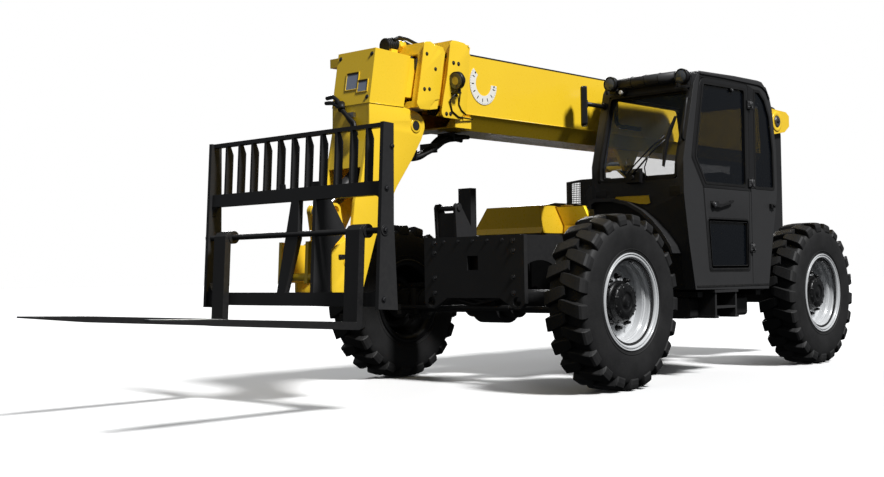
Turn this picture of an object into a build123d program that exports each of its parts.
from build123d import *
import os
from math import radians, sin, cos, atan2, degrees, hypot

os.makedirs("parts", exist_ok=True)

# ---------------------------------------------------------------- driving dimensions (mm)
F = 436.2              # front axle centre, forward of the middle of the machine
WB = 3164.5            # wheelbase
AXLE_Z = 650.0         # axle height = loaded tyre radius
TYRE_R = 650.0         # 13.00-24 tyre
TYRE_W = 330.0
TRACK_Y = 1126.0       # wheel centre plane from the middle
RIM_R = 305.0          # 24 inch bead seat
KING_Y = 880.0         # king pin line
STEER_ARM = 195.0      # steering arm from king pin to track rod
RAIL_Y = 450.0         # outer face of the frame rails
DECK_Z = 1165.0        # top of the frame
PIV_X, PIV_Z = F - 4380.0, 2430.0      # boom pivot
LIFT_A = (F - 3700.0, 950.0)           # lift cylinder foot
LIFT_B = (F - 1750.0, 1852.0)          # lift cylinder rod eye, on the boom
PIN_X, PIN_Z = F + 1778.0, 964.0       # carriage pivot
TILT_H = (F + 1109.0, 1949.0)          # tilt cylinder upper pin
LEVER = 360.0                          # carriage lever
TILT_T = (PIN_X + LEVER * cos(radians(80)), PIN_Z + LEVER * sin(radians(80)))
TILT_BACK = 3.3        # carriage rake at rest, degrees
FORK_LEN = 1530.0
CAB_IN, CAB_OUT = 380.0, 1250.0        # cab inner and outer side
REAR_X = F - WB

# ---------------------------------------------------------------- small sketch helpers


def side(pts, y0, y1, mode=Mode.ADD):
    """Prism of an X-Z outline between two Y planes."""
    with BuildSketch(Plane.XZ.offset(-y1)) as sk:
        with BuildLine():
            Polyline(*pts, close=True)
        make_face()
    extrude(sk.sketch, amount=y1 - y0, mode=mode)


def front(pts, x0, x1, mode=Mode.ADD):
    """Prism of a Y-Z outline between two X planes."""
    with BuildSketch(Plane.YZ.offset(x0)) as sk:
        with BuildLine():
            Polyline(*pts, close=True)
        make_face()
    extrude(sk.sketch, amount=x1 - x0, mode=mode)


def plan(pts, z0, z1, mode=Mode.ADD):
    """Prism of an X-Y outline between two heights."""
    with BuildSketch(Plane.XY.offset(z0)) as sk:
        with BuildLine():
            Polyline(*pts, close=True)
        make_face()
    extrude(sk.sketch, amount=z1 - z0, mode=mode)


def block(x0, x1, y0, y1, z0, z1, mode=Mode.ADD):
    """Box between two corners."""
    with BuildSketch(Plane.XY.offset(z0)) as sk:
        with Locations(((x0 + x1) / 2, (y0 + y1) / 2)):
            Rectangle(abs(x1 - x0), abs(y1 - y0))
    extrude(sk.sketch, amount=z1 - z0, mode=mode)


def bar_y(x, z, r, y0, y1, mode=Mode.ADD):
    """Round bar or hole along Y."""
    with BuildSketch(Plane.XZ.offset(-y1)) as sk:
        with Locations((x, z)):
            Circle(r)
    extrude(sk.sketch, amount=y1 - y0, mode=mode)


def bar_x(y, z, r, x0, x1, mode=Mode.ADD):
    """Round bar or hole along X."""
    with BuildSketch(Plane.YZ.offset(x0)) as sk:
        with Locations((y, z)):
            Circle(r)
    extrude(sk.sketch, amount=x1 - x0, mode=mode)


def bar_z(x, y, r, z0, z1, mode=Mode.ADD):
    """Round bar or hole along Z."""
    with BuildSketch(Plane.XY.offset(z0)) as sk:
        with Locations((x, y)):
            Circle(r)
    extrude(sk.sketch, amount=z1 - z0, mode=mode)


def bar_dir(p, q, r, a, b, mode=Mode.ADD):
    """Round bar in the middle X-Z plane, along p->q, from distance a to distance b."""
    d = Vector(q[0] - p[0], 0, q[1] - p[1]).normalized()
    o = Vector(p[0], 0, p[1]) + d * a
    with BuildSketch(Plane(origin=o, z_dir=d)) as sk:
        Circle(r)
    extrude(sk.sketch, amount=b - a, mode=mode)


def xs(pts):
    """Outline given forward of the front axle, moved to the machine's frame."""
    return [(x + F, z) for x, z in pts]


def tl(u, w):
    """Point of the raked carriage: u forward of and w above its pivot."""
    a = radians(TILT_BACK)
    return (PIN_X + u * cos(a) - w * sin(a), PIN_Z + u * sin(a) + w * cos(a))


def save(part, name):
    part.part.label = name
    export_step(part.part, "parts/" + name + ".step")


# ---------------------------------------------------------------- wheels
# section of the tyre and the rim as (radius, offset outboard)
TYRE_SEC = [(306, -140), (352, -152), (420, -168), (500, -170), (575, -162), (622, -156), (645, -146),
            (650, -120), (650, 120), (645, 146), (622, 156), (575, 162), (500, 170), (420, 168),
            (352, 152), (306, 140)]
RIM_SEC = [(305.6, -140.3), (351.6, -152.4), (357, -156), (356, -163), (342, -167), (314, -153), (290, -140),
           (288, -100), (270, -60), (268, 20), (300, 60), (300, 140), (314, 153), (342, 167),
           (356, 163), (357, 156), (351.6, 152.4), (305.6, 140.3)]


def wheel_nodes(label, wx, s):
    wy = s * TRACK_Y
    axis = Axis((wx, wy, AXLE_Z), (0, 1, 0))
    with BuildPart() as tyre:
        with BuildSketch(Plane.YZ.offset(wx)):
            with BuildLine():
                Polyline(*[(wy + s * o, AXLE_Z + r) for r, o in TYRE_SEC], close=True)
            make_face()
        revolve(axis=axis)
    save(tyre, label + "_tyre")
    with BuildPart() as rim:
        # rim barrel, wheel disc and planetary hub
        with BuildSketch(Plane.YZ.offset(wx)):
            with BuildLine():
                Polyline(*[(wy + s * o, AXLE_Z + r) for r, o in RIM_SEC], close=True)
            make_face()
        revolve(axis=axis)
        with BuildSketch(Plane.YZ.offset(wx)):
            with BuildLine():
                Polyline(*[(wy + s * o, AXLE_Z + r) for r, o in
                           [(120, -8), (275, -8), (275, 14), (230, 14), (215, 24), (158, 24), (158, 95), (140, 112),
                            (120, 118), (0, 120), (0, 20), (60, 20), (60, -60), (120, -60)]], close=True)
            make_face()
        revolve(axis=axis)
        # ten wheel studs and their nuts
        with BuildSketch(Plane.XZ.offset(-(wy + s * 20))):
            with Locations((wx, AXLE_Z)):
                with PolarLocations(190, 10, start_angle=18):
                    Circle(15)
        extrude(amount=-36 * s)
        # hand holes of the disc
        with BuildSketch(Plane.XZ.offset(-(wy + s * 60))):
            with Locations((wx, AXLE_Z)):
                with PolarLocations(252, 5, start_angle=0):
                    Circle(9)
        extrude(amount=120 * s, mode=Mode.SUBTRACT)
    save(rim, label + "_rim")


def knuckle_node(label, wx, s, arm):
    wy = s * KING_Y
    with BuildPart() as knuckle:
        bar_z(wx, wy, 62, AXLE_Z - 112, AXLE_Z + 112)
        y0, y1 = sorted((wy, s * 1010))
        bar_y(wx, AXLE_Z, 105, y0, y1)
        y0, y1 = sorted((s * 1005, s * 1062))
        bar_y(wx, AXLE_Z, 56, y0, y1)
        # steering arm
        y0, y1 = sorted((wy - s * 34, wy + s * 34))
        x0, x1 = sorted((wx, wx + arm * STEER_ARM))
        block(x0, x1, y0, y1, AXLE_Z - 105, AXLE_Z - 75)
        bar_z(wx + arm * STEER_ARM, wy, 34, AXLE_Z - 105, AXLE_Z - 75)
    save(knuckle, label + "_knuckle")


for _name, _x, _s, _arm in (("front_left", F, 1, 1), ("front_right", F, -1, 1),
                            ("rear_left", REAR_X, 1, -1), ("rear_right", REAR_X, -1, -1)):
    wheel_nodes(_name, _x, _s)
    knuckle_node(_name, _x, _s, _arm)


# ---------------------------------------------------------------- axles and track rods
def axle_node(label, ax, nose):
    with BuildPart() as axle:
        bar_y(ax, AXLE_Z, 92, -784, 784)
        bar_y(ax, AXLE_Z, 172, -130, 130)
        bar_y(ax, AXLE_Z, 128, -240, 240)
        # input nose of the differential
        x0, x1 = sorted((ax, ax + nose * 300))
        bar_x(0, AXLE_Z, 78, x0, x1)
        # trunnion saddle
        block(ax - 150, ax + 150, -90, 90, AXLE_Z + 60, AXLE_Z + 215)
        bar_x(0, AXLE_Z + 165, 48, ax - 215, ax + 215)
        for s in (1, -1):
            y0, y1 = sorted((s * 762, s * 784))
            bar_y(ax, AXLE_Z, 102, y0, y1)
            for z0, z1 in ((AXLE_Z + 120, AXLE_Z + 150), (AXLE_Z - 150, AXLE_Z - 120)):
                y0, y1 = sorted((s * 775, s * KING_Y))
                block(ax - 62, ax + 62, y0, y1, z0, z1)
                bar_z(ax, s * KING_Y, 62, z0, z1)
    save(axle, label)


axle_node("front_axle", F, -1)
axle_node("rear_axle", REAR_X, 1)

for _name, _x in (("front_track_rod", F + STEER_ARM), ("rear_track_rod", REAR_X - STEER_ARM)):
    with BuildPart() as rod:
        bar_y(_x, AXLE_Z - 48, 17, -KING_Y, KING_Y)
        bar_y(_x, AXLE_Z - 48, 23, -300, 300)
        for s in (1, -1):
            bar_z(_x, s * KING_Y, 30, AXLE_Z - 70, AXLE_Z - 26)
    save(rod, _name)

# ---------------------------------------------------------------- chassis
RAIL = xs([(238, DECK_Z), (238, 700), (120, 640), (-450, 640), (-2720, 640), (-3500, 700), (-4600, 700),
           (-4600, 1060), (-4480, DECK_Z)])
TIE_X, TIE_Z = F - 4440.0, 1085.0      # rear tie-down holes
for _name, _s in (("left_rail", 1), ("right_rail", -1)):
    with BuildPart() as rail:
        y0, y1 = sorted((_s * (RAIL_Y - 30), _s * RAIL_Y))
        side(RAIL, y0, y1)
        bar_y(F, 570, 400, y0 - 5, y1 + 5, mode=Mode.SUBTRACT)
        bar_y(REAR_X, 570, 400, y0 - 5, y1 + 5, mode=Mode.SUBTRACT)
        bar_y(TIE_X, TIE_Z, 38, y0 - 5, y1 + 5, mode=Mode.SUBTRACT)
    save(rail, _name)

W_IN = RAIL_Y - 30
with BuildPart() as frame_cross:
    # belly plate, front deck plate, bulkheads and tail plate, each welded between the rails
    block(F - 2676, F - 524, -W_IN, W_IN, 640, 656)
    block(F - 60, F + 236, -W_IN, W_IN, DECK_Z - 22, DECK_Z)
    block(F - 520, F - 500, -W_IN, W_IN, 655, 1080)
    block(F - 2700, F - 2680, -W_IN, W_IN, 655, 1080)
    block(F - 4600, F - 4576, -W_IN, W_IN, 702, DECK_Z - 60)
    bar_x(0, 700, 60, F - 2710, F - 480, mode=Mode.SUBTRACT)
    # axle hangers
    for ax in (F, REAR_X):
        for x0 in (ax - 210, ax + 180):
            block(x0, x0 + 30, -200, 200, 740, DECK_Z - 24)
            block(x0, x0 + 30, -W_IN, W_IN, 1020, DECK_Z - 24)
            bar_x(0, AXLE_Z + 165, 48.05, x0 - 5, x0 + 35, mode=Mode.SUBTRACT)
    # notch that lets the lift cylinder pass
    block(REAR_X - 230, REAR_X - 160, -118, 118, 935, DECK_Z + 5, mode=Mode.SUBTRACT)
    # floor and tie plate of the boom tower
    block(F - 4572, F - 3850, -W_IN, W_IN, 1008, 1040)
    block(F - 4560, F - 4500, -139, 139, 1044, 2200)
    # foot of the lift cylinder
    block(F - 3960, F - 3480, -W_IN, W_IN, 780, 815)
    for s in (1, -1):
        y0, y1 = sorted((s * 98, s * 130))
        side([(LIFT_A[0] - 130, 800), (LIFT_A[0] + 150, 800), (LIFT_A[0] + 75, 960), (LIFT_A[0] - 75, 960)], y0, y1)
        bar_y(LIFT_A[0], LIFT_A[1], 78, y0, y1)
        bar_y(LIFT_A[0], LIFT_A[1], 40.05, y0 - 5, y1 + 5, mode=Mode.SUBTRACT)
    # outriggers that carry the cab and the engine pod
    for x in (-1150, -2120):
        block(F + x - 40, F + x + 40, RAIL_Y, 1180, 655, 700)
        block(F + x - 40, F + x + 40, -1180, -RAIL_Y, 655, 715)
save(frame_cross, "frame_cross")

with BuildPart() as boom_tower:
    # the two plates that carry the boom pivot
    for s in (1, -1):
        y0, y1 = sorted((s * 140, s * 200))
        side(xs([(-4570, 1040), (-3900, 1040), (-4130, 1500), (-4220, 2300), (-4220, 2430), (-4540, 2430),
                 (-4570, 2300)]), y0, y1)
        bar_y(PIV_X, PIV_Z, 160, y0, y1)
        bar_y(PIV_X, PIV_Z, 60.05, y0 - 5, y1 + 5, mode=Mode.SUBTRACT)
save(boom_tower, "boom_tower")

with BuildPart() as front_plate:
    half = [(0, 1164), (515, 1164), (515, 640), (480, 600), (420, 596), (270, 680), (0, 680)]
    pts = half + [(-y, z) for y, z in reversed(half[1:-1])]
    front(pts, F + 238, F + 280)
    for s in (1, -1):
        bar_x(s * 440, 652, 38, F + 230, F + 290, mode=Mode.SUBTRACT)
    block(F + 230, F + 290, -55, 55, 900, 1010, mode=Mode.SUBTRACT)
save(front_plate, "front_plate")

with BuildPart() as level_bracket:
    # clevis ears with a pin, and the tall boom stop post behind them
    for y0 in (-442, -236):
        side(xs([(222, DECK_Z), (236, 1400), (196, 1442), (160, 1412), (-20, DECK_Z)]), y0, y0 + 25)
        bar_y(F + 195, 1400, 42, y0, y0 + 25)
    bar_y(F + 195, 1400, 22, -452, -200)
    side(xs([(208, DECK_Z), (218, 1362), (202, 1362), (190, DECK_Z)]), -417, -236)
    block(F - 110, F - 40, -420, -285, DECK_Z, 1575)
save(level_bracket, "level_bracket")

with BuildPart() as drive_line:
    # gearbox and the two propeller shafts
    block(F - 1900, F - 1350, -190, 190, 700, 1000)
    bar_x(0, 760, 85, F - 1980, F - 1270)
    bar_x(0, 700, 30, F - 1275, F - 300.5)
    bar_x(0, 700, 30, REAR_X + 300.5, F - 1975)
    for x in (F - 420, F - 1300, F - 1990, F - 2790):
        bar_x(0, 700, 42, x, x + 50)
save(drive_line, "drive_line")

with BuildPart() as counterweight:
    side(xs([(-4572, 560), (-4572, 1005), (-4010, 1005), (-4010, 900), (-4120, 560)]), -415, 415)
save(counterweight, "counterweight")

with BuildPart() as fuel_tank:
    block(F - 2110, F - 1160, 480, 1080, 480, 650)
    fillet(fuel_tank.edges().filter_by(Axis.X), 35)
save(fuel_tank, "fuel_tank")

with BuildPart() as cab_step:
    # two stirrup steps with their hangers
    for x in (-1290, -1620):
        block(F + x - 25, F + x, 1085, 1235, 500, 700)
        block(F + x - 55, F + x + 8, 1085, 1235, 482, 504)
    block(F - 1620, F - 1315, 1085, 1235, 560, 580)
    block(F - 1645, F - 1265, 1130, 1250, 690, 712)
save(cab_step, "cab_step")

# ---------------------------------------------------------------- engine pod
POD_F, POD_R = F - 1200, F - 2330
with BuildPart() as engine_pod:
    front([(-470, 716), (-1180, 716), (-1275, 820), (-1275, 1225), (-470, 1225)], POD_R, POD_F)
    front([(-490, 736), (-1172, 736), (-1255, 828), (-1255, 1240), (-490, 1240)], POD_R + 20, POD_F - 20,
          mode=Mode.SUBTRACT)
    # side and rear grille windows
    block(POD_R + 180, POD_R + 620, -1290, -1240, 860, 1180, mode=Mode.SUBTRACT)
save(engine_pod, "engine_pod")

with BuildPart() as pod_grille:
    block(POD_R + 185, POD_R + 615, -1272, -1260, 865, 1175)
    with BuildSketch(Plane.XZ.offset(1285)):
        with Locations((POD_R + 400, 1020)):
            with GridLocations(0, 44, 1, 6):
                Rectangle(390, 22)
    extrude(amount=-40, mode=Mode.SUBTRACT)
save(pod_grille, "pod_grille")

HINGE_Y, HINGE_Z = -452.0, 1484.0      # hinge line of the engine hood
with BuildPart() as hood:
    front([(-468, 1230), (-468, 1478), (-1080, 1478), (-1290, 1262), (-1290, 1230)], POD_R - 60, POD_F + 12)
    # raked nose
    side([(POD_F + 20, 1200), (POD_F + 20, 1500), (POD_F + 10, 1479), (POD_F - 40, 1285), (POD_F - 2, 1200)], -1300, -460,
         mode=Mode.SUBTRACT)
    front([(-486, 1215), (-486, 1458), (-1072, 1458), (-1270, 1255), (-1270, 1215)], POD_R - 40, POD_F - 60,
          mode=Mode.SUBTRACT)
    for x in (POD_F - 420, POD_F - 760, POD_F - 1080):
        block(x, x + 60, -500, HINGE_Y, 1474, 1490)
        bar_x(HINGE_Y, HINGE_Z, 10, x, x + 60)
save(hood, "hood")

with BuildPart() as hood_panel:
    # raised black panel on top of the hood
    side(xs([(-1290, 1478), (-1560, 1516), (-2230, 1516), (-2330, 1478)]), -1020, -560)
save(hood_panel, "hood_panel")

with BuildPart() as hood_step:
    # fixed inner cover beside the hood, over the right frame rail
    side(xs([(-1427, 1466), (-1545, 1300), (-1519, DECK_Z), (-2380, DECK_Z), (-2380, 1466)]), -450, -150)
    side(xs([(-1460, 1446), (-1570, 1300), (-1545, DECK_Z - 5), (-2360, DECK_Z - 5), (-2360, 1446)]), -432, -168,
         mode=Mode.SUBTRACT)
    for x in (POD_F - 482, POD_F - 697, POD_F - 822, POD_F - 1017, POD_F - 1142):
        block(x, x + 57, HINGE_Y, -420, 1464, 1480)
        bar_x(HINGE_Y, HINGE_Z, 10, x, x + 57)
save(hood_step, "hood_step")

with BuildPart() as engine_block:
    block(POD_R + 130, POD_F - 180, -1150, -560, 760, 1190)
save(engine_block, "engine_block")

with BuildPart() as guard_box:
    # perforated guard and air cleaner behind the engine hood
    front([(-1050, DECK_Z), (-1050, 1775), (-900, 1792), (-560, 1792), (-560, DECK_Z)], F - 2480, F - 2402)
    block(F - 2480, F - 2402, -565, -RAIL_Y, 1000, DECK_Z + 120)
save(guard_box, "guard_box")

# ---------------------------------------------------------------- cab
CAB = xs([(-967, 720), (-880, 1100), (-815, 1480), (-815, 1740), (-1000, 2370), (-1062, 2448), (-1110, 2476),
          (-1667, 2496), (-2060, 2501), (-2140, 2490), (-2212, 2445), (-2262, 2380), (-2310, 2265), (-2370, 1918),
          (-2378, 1600), (-2366, 1490), (-2235, 950), (-2185, 707)])
CAB_I = xs([(-1010, 765), (-925, 1105), (-862, 1485), (-862, 1732), (-1045, 2360), (-1100, 2430), (-1130, 2456),
            (-2060, 2456), (-2120, 2446), (-2176, 2412), (-2222, 2358), (-2265, 2255), (-2324, 1914), (-2332, 1605),
            (-2320, 1495), (-2192, 965), (-2150, 752)])
with BuildPart() as cab_shell:
    side(CAB, CAB_IN, CAB_OUT)
    side(CAB_I, CAB_IN + 42, CAB_OUT - 42, mode=Mode.SUBTRACT)
    # step of the inner wall over the frame rail
    block(F - 2600, F - 700, CAB_IN - 10, 490, 600, 1230, mode=Mode.SUBTRACT)
    side(xs([(-960, 740), (-905, 1225), (-2290, 1225), (-2230, 970), (-2180, 740)]), 455, 492)
    block(F - 2290, F - 905, CAB_IN, 492, 1222, 1262)
    # roof is its own panel
    block(F - 2700, F - 600, CAB_IN - 10, CAB_OUT + 10, 2455, 2600, mode=Mode.SUBTRACT)
    # windscreen, rear window and inner side window
    front([(CAB_IN + 62, 1600), (CAB_OUT - 62, 1600), (CAB_OUT - 32, 2330), (CAB_IN + 74, 2330)], F - 1090, F - 760,
          mode=Mode.SUBTRACT)
    front([(CAB_IN + 80, 1560), (CAB_OUT - 90, 1560), (CAB_OUT - 90, 2330), (CAB_IN + 80, 2330)], F - 2500, F - 2222,
          mode=Mode.SUBTRACT)
    side(xs([(-960, 1560), (-950, 1730), (-1110, 2350), (-2180, 2350), (-2270, 1900), (-2280, 1560)]), CAB_IN - 5,
         CAB_IN + 60, mode=Mode.SUBTRACT)
    # door opening
    side(xs([(-1190, 862), (-1112, 1540), (-942, 1762), (-948, 1802), (-1089, 2429), (-1872, 2443), (-1862, 862)]),
         CAB_OUT - 60, CAB_OUT + 5, mode=Mode.SUBTRACT)
    # rear quarter window
    side(xs([(-1965, 1560), (-1975, 2412), (-2080, 2412), (-2180, 2345), (-2262, 2200), (-2316, 1900), (-2324, 1560)]),
         CAB_OUT - 60, CAB_OUT + 5, mode=Mode.SUBTRACT)
save(cab_shell, "cab_shell")

with BuildPart() as cab_roof:
    side(xs([(-1076, 2457), (-1110, 2476), (-1667, 2496), (-2060, 2501), (-2140, 2490), (-2190, 2457)]), CAB_IN + 4,
         CAB_OUT - 4)
    fillet(cab_roof.edges().filter_by(Axis.X, tolerance=3).group_by(Axis.Z)[-1], 14)
save(cab_roof, "cab_roof")

with BuildPart() as cab_glass:
    # windscreen, raked with the posts
    side(xs([(-868, 1602), (-862, 1602), (-848, 1735), (-1023, 2328), (-1029, 2328), (-854, 1735)]), CAB_IN + 77,
         CAB_OUT - 64)
    # rear pane
    side(xs([(-2346, 1562), (-2340, 1562), (-2342, 1915), (-2268, 2328), (-2274, 2328), (-2348, 1915)]), CAB_IN + 82,
         CAB_OUT - 92)
    # inner side pane
    side(xs([(-964, 1564), (-954, 1730), (-1113, 2347), (-2177, 2347), (-2267, 1900), (-2276, 1564)]), CAB_IN + 12,
         CAB_IN + 18)
    # quarter pane
    side(xs([(-1968, 1563), (-1978, 2409), (-2079, 2409), (-2177, 2343), (-2259, 2199), (-2313, 1900), (-2321, 1563)]),
         CAB_OUT - 16, CAB_OUT - 10)
save(cab_glass, "cab_glass")

ARCH = [(352, 1395), (362, 1448), (430, 1474), (600, 1470), (750, 1432), (880, 1362), (985, 1275), (1080, 1170),
        (1145, 1070), (1165, 1010)]
ARCH_I = [(1150, 1000), (1122, 1058), (1056, 1152), (963, 1254), (862, 1338), (740, 1405), (596, 1442),
          (432, 1445), (398, 1428), (390, 1390)]
with BuildPart() as cab_fender:
    # arched lip of the wheel well, across the cab's front
    front(ARCH + ARCH_I, F - 940, F - 772)
    side(CAB, CAB_IN - 60, CAB_OUT + 5, mode=Mode.SUBTRACT)
save(cab_fender, "cab_fender")

DOOR = xs([(-1194, 868), (-1118, 1546), (-948, 1768), (-953, 1800), (-1093, 2423), (-1866, 2437), (-1856, 868)])
with BuildPart() as cab_door:
    side(DOOR, CAB_OUT - 38, CAB_OUT + 4)
    side(xs([(-1146, 1565), (-992, 1770), (-994, 1800), (-1126, 2390), (-1822, 2403), (-1818, 1565)]), CAB_OUT - 50,
         CAB_OUT + 10, mode=Mode.SUBTRACT)
    side(xs([(-1213, 890), (-1172, 1285), (-1832, 1285), (-1832, 890)]), CAB_OUT - 50, CAB_OUT + 10, mode=Mode.SUBTRACT)
    # handle and hinge leaves
    bar_y(F - 1242, 1402, 26, CAB_OUT, CAB_OUT + 34)
    side(xs([(-1236, 1384), (-1330, 1380), (-1405, 1396), (-1500, 1414), (-1545, 1432), (-1545, 1450), (-1495, 1432), (-1405, 1414),
             (-1330, 1408), (-1236, 1418)]), CAB_OUT + 20, CAB_OUT + 34)
    bar_y(F - 1530, 1436, 8, CAB_OUT, CAB_OUT + 30)
    for z in (1060, 1605, 2270):
        block(F - 1900, F - 1845, CAB_OUT + 4, CAB_OUT + 16, z - 35, z + 35)
        bar_z(F - 1893, CAB_OUT + 16, 12, z - 35, z + 35)
save(cab_door, "cab_door")

with BuildPart() as door_glass:
    side(xs([(-1148, 1568), (-995, 1771), (-997, 1800), (-1128, 2387), (-1819, 2400), (-1815, 1568)]), CAB_OUT - 16,
         CAB_OUT - 10)
    side(xs([(-1216, 893), (-1175, 1282), (-1829, 1282), (-1829, 893)]), CAB_OUT - 16, CAB_OUT - 10)
save(door_glass, "door_glass")

with BuildPart() as seat:
    block(F - 2010, F - 1500, 560, 1040, 1010, 1130)
    side(xs([(-2010, 1100), (-1900, 1100), (-1990, 1720), (-2090, 1720)]), 570, 1030)
    block(F - 1960, F - 1560, 640, 960, 766, 1010)
save(seat, "seat")

with BuildPart() as steering_column:
    side(xs([(-1240, 766), (-1120, 766), (-1290, 1300), (-1390, 1300)]), 740, 860)
    with BuildSketch(Plane(origin=(F - 1365, 800, 1360), x_dir=(0, 1, 0), z_dir=(-0.42, 0, 0.91))):
        Circle(190)
        Circle(165, mode=Mode.SUBTRACT)
    extrude(amount=24)
    with BuildSketch(Plane(origin=(F - 1365, 800, 1360), x_dir=(0, 1, 0), z_dir=(-0.42, 0, 0.91))):
        Rectangle(340, 30)
        Circle(45)
    extrude(amount=24)
    with BuildSketch(Plane(origin=(F - 1330, 800, 1285), x_dir=(0, 1, 0), z_dir=(-0.42, 0, 0.91))):
        Circle(28)
    extrude(amount=90)
save(steering_column, "steering_column")

with BuildPart() as dashboard:
    side(xs([(-915, 1262), (-872, 1490), (-1010, 1470), (-1060, 1380), (-1000, 1262)]), CAB_IN + 46, CAB_OUT - 46)
    block(F - 2000, F - 1300, 494, 552, 766, 1180)
save(dashboard, "dashboard")

with BuildPart() as roof_lights:
    # two round work lights and the rolled visor between them
    for y, z in ((508, 2430), (1186, 2416)):
        bar_x(y, z, 60, F - 985, F - 908)
    bar_y(F - 972, 2428, 46, 540, 1120)
    side(CAB, CAB_IN - 60, CAB_OUT + 5, mode=Mode.SUBTRACT)
save(roof_lights, "roof_lights")

with BuildPart() as cab_mirror:
    # side mirror on a short arm from the front pillar, turned to the driver's seat
    mx, my, ux, uy = F - 670, 415, 0.814, 0.581
    plan([(mx + a * ux - b * uy, my + a * uy + b * ux) for a, b in ((-75, -27), (75, -27), (75, 27), (-75, 27))], 2070, 2392)
    bar_x(my, 2255, 19, F - 985, F - 685)
    side(CAB, CAB_IN - 60, CAB_OUT + 5, mode=Mode.SUBTRACT)
save(cab_mirror, "cab_mirror")

# ---------------------------------------------------------------- boom
BOOM_OUT = [(-250, 2525), (-250, 2072), (-165, 1962), (165, 1962), (250, 2072), (250, 2525)]
BOOM_CAV = [(-238, 2513), (-238, 2078), (-158, 1974), (158, 1974), (238, 2078), (238, 2513)]
with BuildPart() as boom_base:
    front(BOOM_OUT, F - 4050, F + 730)
    # front collar
    side(xs([(585, 2575), (787, 2605), (905, 2035), (700, 2035)]), -272, 272)
    block(F + 560, F + 740, -250, 250, 1962, 2050)
    front(BOOM_CAV, F - 4060, F + 930, mode=Mode.SUBTRACT)
    # rear cheeks with the pivot bore
    for s in (1, -1):
        y0, y1 = sorted((s * 226, s * 250))
        side(xs([(-3900, 2080), (-4120, 2260), (-4560, 2330), (-4668, 2400), (-4668, 2510), (-4600, 2548),
                 (-4180, 2560), (-3900, 2525)]), y0, y1)
        bar_y(PIV_X, PIV_Z, 60.05, y0 - 5, y1 + 5, mode=Mode.SUBTRACT)
    # lugs of the lift cylinder
    for s in (1, -1):
        y0, y1 = sorted((s * 85, s * 120))
        side([(LIFT_B[0] - 190, 1970), (LIFT_B[0] + 190, 1970), (LIFT_B[0] + 70, 1812), (LIFT_B[0] - 70, 1812)], y0, y1)
        bar_y(LIFT_B[0], LIFT_B[1], 75, y0, y1)
        bar_y(LIFT_B[0], LIFT_B[1], 40, y0 - 5, y1 + 5, mode=Mode.SUBTRACT)
save(boom_base, "boom_base")

with BuildPart() as boom_mid:
    front([(-212, 2478), (-212, 2112), (212, 2112), (212, 2478)], F - 3980, F + 1090)
    side(xs([(856, 2500), (880, 2540), (1060, 2560), (1165, 2075), (1030, 2066), (950, 2080)]), -262, 262)
    front([(-200, 2466), (-200, 2124), (200, 2124), (200, 2466)], F - 3990, F + 1200, mode=Mode.SUBTRACT)
save(boom_mid, "boom_mid")

with BuildPart() as boom_inner:
    front([(-175, 2440), (-175, 2152), (175, 2152), (175, 2440)], F - 3900, F + 1300)
    # head box
    side(xs([(1150, 2452), (1505, 2470), (1575, 2075), (1230, 2075)]), -190, 190)
    front([(-163, 2428), (-163, 2164), (163, 2164), (163, 2428)], F - 3910, F + 1420, mode=Mode.SUBTRACT)
    block(F + 1180, F + 1460, -330, -185, 2390, 2455)
save(boom_inner, "boom_inner")

NECK = xs([(1232, 2075), (1150, 2060), (1091, 2050), (1030, 2020), (1008, 1950), (1053, 1851), (1151, 1699),
           (1310, 1497), (1520, 1150), (1610, 900), (1665, 753), (1947, 753), (1943, 1045), (1770, 1140), (1746, 1211),
           (1724, 1383), (1664, 1516), (1576, 1911), (1573, 2075)])
with BuildPart() as gooseneck:
    for s in (1, -1):
        y0, y1 = sorted((s * 160, s * 190))
        side(NECK, y0, y1)
        bar_y(TILT_H[0], TILT_H[1], 32.05, y0 - 5, y1 + 5, mode=Mode.SUBTRACT)
        bar_y(PIN_X, PIN_Z, 38.05, y0 - 5, y1 + 5, mode=Mode.SUBTRACT)
    # front web and rear web
    side(xs([(1573, 2075), (1576, 1911), (1640, 1622), (1628, 1619), (1562, 1909), (1558, 2075)]), -165, 165)
    side(xs([(1151, 1699), (1310, 1497), (1420, 1315), (1432, 1322), (1320, 1505), (1161, 1708)]), -165, 165)
    block(F + 1232, F + 1560, -165, 165, 2060, 2075)
save(gooseneck, "gooseneck")

with BuildPart() as pivot_pins:
    # boom pivot pin, held in the tower
    bar_y(PIV_X, PIV_Z, 60, -262, 262)
save(pivot_pins, "boom_pivot_pin")

# lift cylinder, drawn in the middle plane
LL = hypot(LIFT_B[0] - LIFT_A[0], LIFT_B[1] - LIFT_A[1])
with BuildPart() as lift_barrel:
    bar_dir(LIFT_A, LIFT_B, 60, 20, 120)
    bar_dir(LIFT_A, LIFT_B, 92, 100, LL - 330)
    bar_dir(LIFT_A, LIFT_B, 104, LL - 420, LL - 330)
    bar_y(LIFT_A[0], LIFT_A[1], 76, -92, 92)
    bar_dir(LIFT_A, LIFT_B, 50.06, LL - 1010, LL - 300, mode=Mode.SUBTRACT)
    bar_y(LIFT_A[0], LIFT_A[1], 40, -138, 138)
save(lift_barrel, "lift_barrel")
with BuildPart() as lift_rod:
    bar_dir(LIFT_A, LIFT_B, 50, LL - 890, LL - 40)
    bar_y(LIFT_B[0], LIFT_B[1], 62, -78, 78)
    bar_y(LIFT_B[0], LIFT_B[1], 35, -90, 90, mode=Mode.SUBTRACT)
save(lift_rod, "lift_rod")

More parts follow.
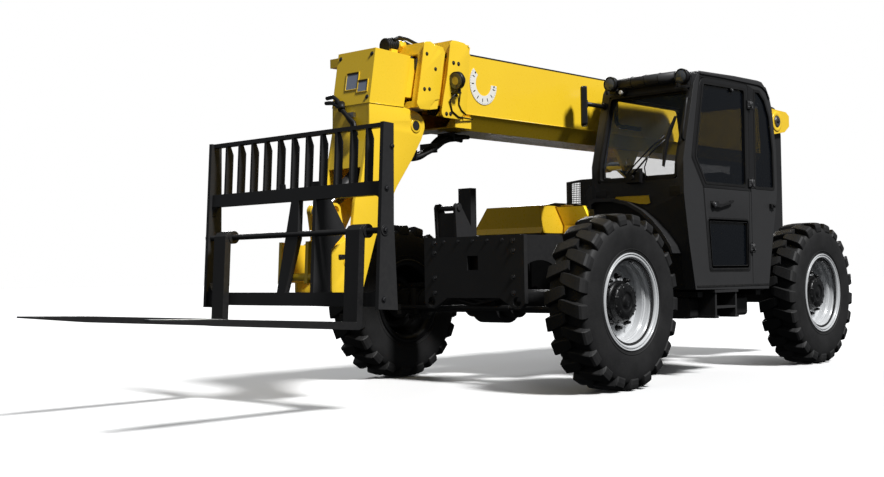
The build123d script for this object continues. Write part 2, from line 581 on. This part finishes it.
# tilt cylinder inside the gooseneck
TL = hypot(TILT_T[0] - TILT_H[0], TILT_T[1] - TILT_H[1])
with BuildPart() as tilt_barrel:
    bar_dir(TILT_H, TILT_T, 52, 20, TL - 150)
    bar_y(TILT_H[0], TILT_H[1], 55, -150, 150)
    bar_dir(TILT_H, TILT_T, 30.05, TL - 860, TL - 100, mode=Mode.SUBTRACT)
    bar_y(TILT_H[0], TILT_H[1], 32, -196, 196)
save(tilt_barrel, "tilt_barrel")
with BuildPart() as tilt_rod:
    bar_dir(TILT_H, TILT_T, 30, TL - 770, TL - 30)
    bar_y(TILT_T[0], TILT_T[1], 48, -70, 70)
    bar_y(TILT_T[0], TILT_T[1], 25, -90, 90, mode=Mode.SUBTRACT)
save(tilt_rod, "tilt_rod")

# ---------------------------------------------------------------- carriage and forks
SH_U, SH_W = 372, 167
SHX, SHZ = tl(SH_U, SH_W)
with BuildPart() as carriage:
    for s in (1, -1):
        # side plates
        y0, y1 = sorted((s * 858, s * 888))
        side([tl(318, 846), tl(407, 846), tl(407, -327), tl(234, -327), tl(292, 220)], y0, y1)
    # gusset on the left of the gooseneck
    side([tl(385, 478), tl(247, 478), tl(247, 398), tl(111, 215), tl(111, 190), tl(233, 70), tl(231, -310),
          tl(385, -310)], 225, 255)
    # middle and lower beams
    side([tl(345, 390), tl(385, 390), tl(385, 478), tl(345, 478)], -860, 860)
    side([tl(345, -310), tl(385, -310), tl(385, -221), tl(345, -221)], -860, 860)
    # slanting centre plate between the beams
    c = [tl(345, 400), tl(385, 400), tl(385, -230), tl(345, -230)]
    side(c, -112, 84)
    z_t, z_m, z_b = tl(365, 400)[1], tl(365, 134)[1], tl(365, -230)[1]
    front([(-200, z_b - 60), (-112, z_b - 60), (-112, z_b), (8, z_t), (-200, z_t)], PIN_X + 250, PIN_X + 460,
          mode=Mode.SUBTRACT)
    front([(84, z_t), (84, z_m), (-30, z_b), (-30, z_b - 60), (220, z_b - 60), (220, z_t)], PIN_X + 250, PIN_X + 460,
          mode=Mode.SUBTRACT)
    side([tl(345, -310), tl(385, -310), tl(385, -221), tl(345, -221)], -860, 860)
    side([tl(345, 390), tl(385, 390), tl(385, 478), tl(345, 478)], -860, 860)
    # seat of the fork shaft
    bar_y(SHX, SHZ, 20.05, -870, 870, mode=Mode.SUBTRACT)
save(carriage, "carriage_frame")

with BuildPart() as coupler:
    # yellow coupler on the gooseneck's pin: boss, two arms, tilt levers and the lower tube
    bar_y(PIN_X, PIN_Z, 58, -150, 150)
    for s in (1, -1):
        y0, y1 = sorted((s * 120, s * 150))
        side([tl(-50, 0), tl(-20, -55), tl(100, -140), tl(345, -160), tl(345, 120), tl(120, 110), tl(-15, 56)], y0, y1)
        y0, y1 = sorted((s * 80, s * 121))
        side([(PIN_X - 55, PIN_Z), (PIN_X + 55, PIN_Z), (TILT_T[0] + 48, TILT_T[1]), (TILT_T[0] - 48, TILT_T[1])], y0, y1)
        bar_y(TILT_T[0], TILT_T[1], 50, y0, y1)
        bar_y(TILT_T[0], TILT_T[1], 30, y0 - 5, y1 + 5, mode=Mode.SUBTRACT)
    bar_y(*tl(318, -116), 26, -150, 225)
    # pin through the gooseneck
    bar_y(PIN_X, PIN_Z, 38, -200, 200)
save(coupler, "coupler")

with BuildPart() as backrest:
    side([tl(345, 818), tl(385, 818), tl(385, 846), tl(345, 846)], -858, 858)
    for i in range(11):
        y = -858 + 1716 * (i + 1) / 12.0
        side([tl(338, 478), tl(385, 478), tl(385, 819), tl(352, 819), tl(326, 762), tl(326, 478)], y - 10, y + 10)
save(backrest, "load_backrest")

with BuildPart() as fork_shaft:
    bar_y(SHX, SHZ, 20, -858, 858)
save(fork_shaft, "fork_shaft")

FORK_IN, FORK_OUT = 612, 738
for _name, _s in (("left_fork", 1), ("right_fork", -1)):
    with BuildPart() as fork:
        y0, y1 = sorted((_s * FORK_IN, _s * FORK_OUT))
        side([tl(395, 190), tl(420, 200), tl(445, 170), tl(445, -408), tl(1450, -412), tl(1936, -424), tl(1936, -434), tl(1450, -452),
              tl(420, -458), tl(395, -436)], y0, y1)
        ye0, ye1 = sorted((_s * (FORK_IN - 6), _s * (FORK_OUT + 6)))
        bar_y(SHX, SHZ, 45, ye0, ye1)
        bar_y(SHX, SHZ, 21, ye0 - 5, ye1 + 5, mode=Mode.SUBTRACT)
        side([tl(300, 100), tl(386, 100), tl(386, 80), tl(300, 80)], ye0 - 5, ye1 + 5, mode=Mode.SUBTRACT)
        # tapered tip in plan
        for t in (1, -1):
            yo = (y1 if t > 0 else y0)
            plan([(PIN_X + 2020, yo + t * 5), (PIN_X + 2020, yo - t * 42), (PIN_X + 1640, yo + t * 0.5), (PIN_X + 1640, yo + t * 5)],
                 400, 900, mode=Mode.SUBTRACT)
    save(fork, _name)

with BuildPart() as hoses:
    for y, dz in ((-55, 0), (0, 14), (55, 4)):
        with BuildLine():
            FilletPolyline((F + 1145, y, 1757 + dz), (F + 1040, y, 1735 + dz), (F + 900, y, 1748 + dz),
                           (F + 740, y, 1790 + dz), (F + 530, y, 1905 + dz), (F + 380, y, 1920 + dz),
                           radius=110)
        with BuildSketch(Plane(origin=(F + 1145, y, 1757 + dz), z_dir=(-105, 0, -22))):
            Circle(18)
        sweep()
save(hoses, "hose_bundle")
